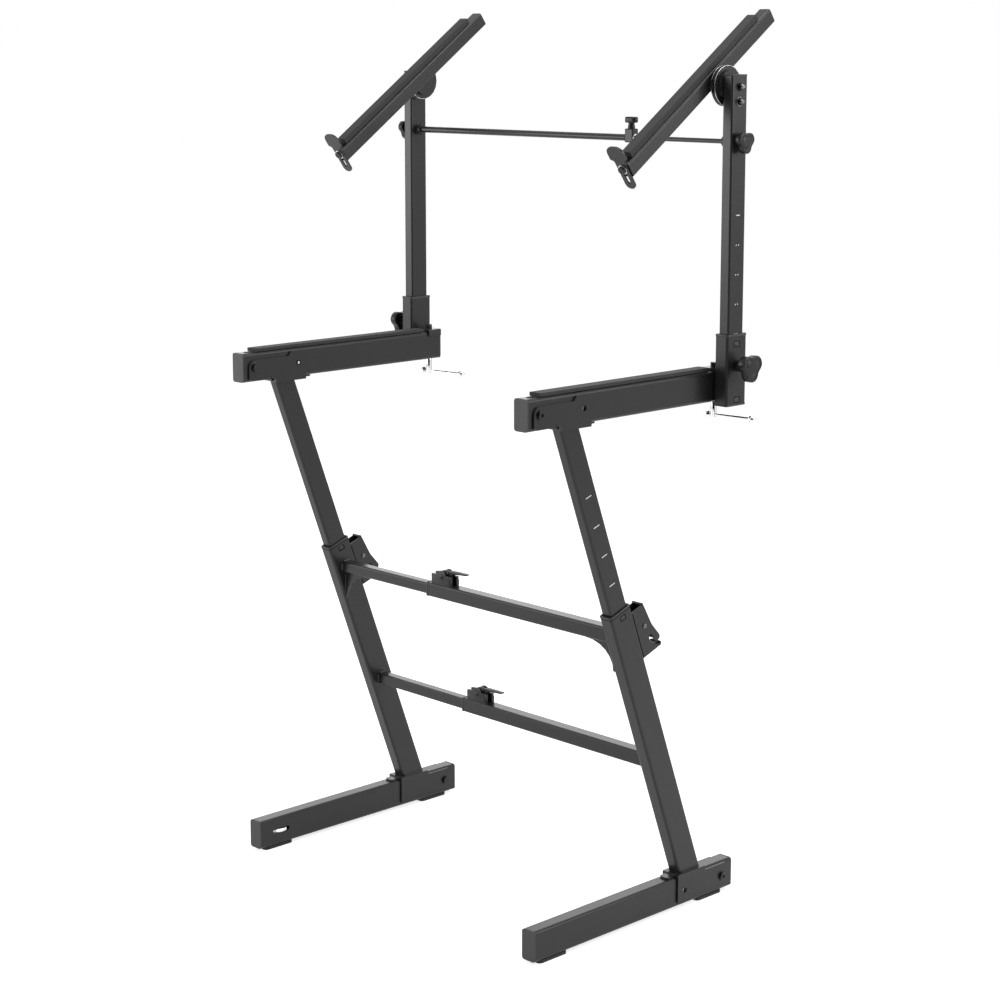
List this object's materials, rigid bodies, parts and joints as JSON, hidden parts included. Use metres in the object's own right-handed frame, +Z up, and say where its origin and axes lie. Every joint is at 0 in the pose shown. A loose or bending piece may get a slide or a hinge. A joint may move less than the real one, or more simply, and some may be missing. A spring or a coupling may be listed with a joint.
{
  "type": "keyboard stand",
  "caption": "Folding two-tier keyboard stand: leaning telescoping legs, folding feet and arms, and a clamped-on second tier with posts and tilting arms.",
  "frame": {"origin": "on the floor, under the middle of the stand's box", "axes": "+Z up, +X to the stand's right, the player sits at -Y"},
  "size_m": [0.8506, 0.568, 1.466],
  "materials": {
    "frame_steel": "satin",
    "bolt_steel": "satin",
    "chrome": "polished",
    "button_chrome": "satin",
    "rubber": "matte",
    "cap_plastic": "matte",
    "collar_plastic": "matte",
    "lever_plastic": "matte",
    "knob_plastic": "satin"
  },
  "bodies": {
    "right_frame": {"leg_lower_right": "frame_steel", "leg_collar_right": "collar_plastic", "brace_upper_outer": "frame_steel", "brace_lower_outer": "frame_steel", "foot_hinge_bolt_right": "bolt_steel"},
    "left_frame": {"leg_lower_left": "frame_steel", "leg_collar_left": "collar_plastic", "brace_upper_inner": "frame_steel", "brace_lower_inner": "frame_steel", "foot_hinge_bolt_left": "bolt_steel"},
    "cam_lever_upper": {"cam_lever_upper": "knob_plastic"},
    "cam_lever_lower": {"cam_lever_lower": "knob_plastic"},
    "foot_right": {"foot_tube_right": "frame_steel", "foot_front_cap_right": "cap_plastic", "foot_rear_cap_right": "cap_plastic", "foot_rear_pad_right": "rubber", "foot_front_pad_right": "rubber"},
    "foot_button_right": {"foot_snap_button_right": "button_chrome"},
    "arm_button_right": {"arm_snap_button_right": "button_chrome"},
    "upper_leg_right": {"leg_upper_right": "frame_steel", "arm_hinge_bolt_right": "bolt_steel"},
    "lock_lever_right": {"lock_lever_right": "lever_plastic"},
    "arm_right": {"arm_tube_right": "frame_steel", "post_sleeve_right": "frame_steel", "arm_front_cap_right": "cap_plastic", "arm_rubber_right": "rubber"},
    "clamp_screw_right": {"clamp_screw_right": "chrome"},
    "clamp_bar_right": {"clamp_bar_right": "chrome"},
    "post_knob_right": {"post_knob_right": "knob_plastic"},
    "post_right": {"post_right": "frame_steel", "rod_inner": "frame_steel"},
    "rod_knob_right": {"rod_knob_right": "knob_plastic"},
    "tilt_right": {"tilt_arm_right": "frame_steel", "tilt_rubber_right": "rubber"},
    "end_stop_right": {"end_stop_right": "frame_steel"},
    "foot_left": {"foot_tube_left": "frame_steel", "foot_front_cap_left": "cap_plastic", "foot_rear_cap_left": "cap_plastic", "foot_rear_pad_left": "rubber"},
    "levelling_pad": {"foot_front_pad_left": "rubber"},
    "levelling_wheel": {"levelling_wheel_left": "chrome"},
    "foot_button_left": {"foot_snap_button_left": "button_chrome"},
    "arm_button_left": {"arm_snap_button_left": "button_chrome"},
    "upper_leg_left": {"leg_upper_left": "frame_steel", "arm_hinge_bolt_left": "bolt_steel"},
    "lock_lever_left": {"lock_lever_left": "lever_plastic"},
    "arm_left": {"arm_tube_left": "frame_steel", "post_sleeve_left": "frame_steel", "arm_front_cap_left": "cap_plastic", "arm_rubber_left": "rubber"},
    "clamp_screw_left": {"clamp_screw_left": "chrome"},
    "clamp_bar_left": {"clamp_bar_left": "chrome"},
    "post_knob_left": {"post_knob_left": "knob_plastic"},
    "post_left": {"post_left": "frame_steel", "rod_outer": "frame_steel"},
    "rod_knob_left": {"rod_knob_left": "knob_plastic"},
    "tilt_left": {"tilt_arm_left": "frame_steel", "tilt_rubber_left": "rubber"},
    "end_stop_left": {"end_stop_left": "frame_steel"},
    "wing_knob": {"rod_wing_knob": "knob_plastic"}
  },
  "joints": [
    {"name": "frame_width", "type": "slide", "parent": "right_frame", "child": "left_frame", "axis": [1, 0, 0], "range_m": [-0.174, 0.16]},
    {"name": "cam_upper", "type": "hinge", "parent": "right_frame", "child": "cam_lever_upper", "pos_m": [-0.068, -0.05894, 0.51212], "axis": [0, -1, 0], "range_deg": [0, 95]},
    {"name": "cam_lower", "type": "hinge", "parent": "right_frame", "child": "cam_lever_lower", "pos_m": [-0.068, 0.02403, 0.2883], "axis": [0, -1, 0], "range_deg": [0, 95]},
    {"name": "foot_fold_right", "type": "hinge", "parent": "right_frame", "child": "foot_right", "pos_m": [0.3437, 0.1755, 0.031], "axis": [1, 0, 0], "range_deg": [0, 290]},
    {"name": "foot_snap_right", "type": "slide", "parent": "foot_right", "child": "foot_button_right", "axis": [-1, 0, 0], "range_m": [0, 0.003], "stiffness_N_per_m": 800, "springref_m": -0.001},
    {"name": "arm_snap_right", "type": "slide", "parent": "arm_right", "child": "arm_button_right", "axis": [-1, 0, 0], "range_m": [0, 0.003], "stiffness_N_per_m": 800, "springref_m": -0.001},
    {"name": "leg_height_right", "type": "slide", "parent": "right_frame", "child": "upper_leg_right", "axis": [0, -0.3476, 0.9376], "range_m": [-0.315, 0]},
    {"name": "lock_right", "type": "hinge", "parent": "right_frame", "child": "lock_lever_right", "pos_m": [0.3437, -0.01744, 0.49862], "axis": [-1, 0, 0], "range_deg": [0, 10], "stiffness_Nm_per_rad": 1.5, "springref_deg": -11.46},
    {"name": "arm_fold_right", "type": "hinge", "parent": "upper_leg_right", "child": "arm_right", "pos_m": [0.3437, -0.2597, 0.86669], "axis": [1, 0, 0], "range_deg": [0, 180]},
    {"name": "clamp_turn_right", "type": "hinge", "parent": "arm_right", "child": "clamp_screw_right", "pos_m": [0.3437, 0.155, 0.81819], "axis": [0, 0, 1], "continuous": true},
    {"name": "clamp_bar_slide_right", "type": "slide", "parent": "clamp_screw_right", "child": "clamp_bar_right", "axis": [0.993, 0.1184, 0], "range_m": [-0.062, 0]},
    {"name": "post_knob_turn_right", "type": "hinge", "parent": "arm_right", "child": "post_knob_right", "pos_m": [0.3778, 0.155, 0.90309], "axis": [1, 0, 0], "continuous": true},
    {"name": "post_height_right", "type": "slide", "parent": "arm_right", "child": "post_right", "axis": [0, 0, 1], "range_m": [-0.0473, 0]},
    {"name": "rod_knob_turn_right", "type": "hinge", "parent": "post_right", "child": "rod_knob_right", "pos_m": [0.3778, 0.155, 1.25909], "axis": [1, 0, 0], "continuous": true},
    {"name": "tilt_turn_right", "type": "hinge", "parent": "post_right", "child": "tilt_right", "pos_m": [0.33815, 0.155, 1.34609], "axis": [1, 0, 0], "range_deg": [-35.4, 9.6]},
    {"name": "end_stop_travel_right", "type": "slide", "parent": "tilt_right", "child": "end_stop_right", "axis": [0, -0.5793, 0.8151], "range_m": [0, 0.023]},
    {"name": "foot_fold_left", "type": "hinge", "parent": "left_frame", "child": "foot_left", "pos_m": [-0.3437, 0.1755, 0.031], "axis": [1, 0, 0], "range_deg": [0, 290]},
    {"name": "levelling_travel", "type": "slide", "parent": "foot_left", "child": "levelling_pad", "axis": [0, 0, 1], "range_m": [-0.006, 0]},
    {"name": "levelling_turn", "type": "hinge", "parent": "foot_left", "child": "levelling_wheel", "pos_m": [-0.3437, -0.218, 0.0305], "axis": [0, 0, 1], "range_deg": [0, 1700]},
    {"name": "foot_snap_left", "type": "slide", "parent": "foot_left", "child": "foot_button_left", "axis": [1, 0, 0], "range_m": [0, 0.003], "stiffness_N_per_m": 800, "springref_m": -0.001},
    {"name": "arm_snap_left", "type": "slide", "parent": "arm_left", "child": "arm_button_left", "axis": [1, 0, 0], "range_m": [0, 0.003], "stiffness_N_per_m": 800, "springref_m": -0.001},
    {"name": "leg_height_left", "type": "slide", "parent": "left_frame", "child": "upper_leg_left", "axis": [0, -0.3476, 0.9376], "range_m": [-0.315, 0]},
    {"name": "lock_left", "type": "hinge", "parent": "left_frame", "child": "lock_lever_left", "pos_m": [-0.3437, -0.01744, 0.49862], "axis": [-1, 0, 0], "range_deg": [0, 10], "stiffness_Nm_per_rad": 1.5, "springref_deg": -11.46},
    {"name": "arm_fold_left", "type": "hinge", "parent": "upper_leg_left", "child": "arm_left", "pos_m": [-0.3437, -0.2597, 0.86669], "axis": [1, 0, 0], "range_deg": [0, 180]},
    {"name": "clamp_turn_left", "type": "hinge", "parent": "arm_left", "child": "clamp_screw_left", "pos_m": [-0.3437, 0.155, 0.81819], "axis": [0, 0, 1], "continuous": true},
    {"name": "clamp_bar_slide_left", "type": "slide", "parent": "clamp_screw_left", "child": "clamp_bar_left", "axis": [0.9829, 0.184, 0], "range_m": [-0.062, 0]},
    {"name": "post_knob_turn_left", "type": "hinge", "parent": "arm_left", "child": "post_knob_left", "pos_m": [-0.3778, 0.155, 0.90309], "axis": [1, 0, 0], "continuous": true},
    {"name": "post_height_left", "type": "slide", "parent": "arm_left", "child": "post_left", "axis": [0, 0, 1], "range_m": [-0.0473, 0]},
    {"name": "rod_knob_turn_left", "type": "hinge", "parent": "post_left", "child": "rod_knob_left", "pos_m": [-0.3778, 0.155, 1.25909], "axis": [1, 0, 0], "continuous": true},
    {"name": "tilt_turn_left", "type": "hinge", "parent": "post_left", "child": "tilt_left", "pos_m": [-0.33815, 0.155, 1.34609], "axis": [1, 0, 0], "range_deg": [-35.4, 9.6]},
    {"name": "end_stop_travel_left", "type": "slide", "parent": "tilt_left", "child": "end_stop_left", "axis": [0, -0.5793, 0.8151], "range_m": [0, 0.023]},
    {"name": "wing_turn", "type": "hinge", "parent": "post_left", "child": "wing_knob", "pos_m": [0.157, 0.155, 1.27059], "axis": [0, 0, 1], "continuous": true}
  ],
  "couplings": [
    {"joint": "levelling_travel", "follows": "levelling_turn", "m_per_rad": -0.0002},
    {"joint": "leg_height_left", "follows": "leg_height_right", "ratio": 1},
    {"joint": "arm_fold_left", "follows": "arm_fold_right", "ratio": 1},
    {"joint": "post_height_left", "follows": "post_height_right", "ratio": 1}
  ]
}
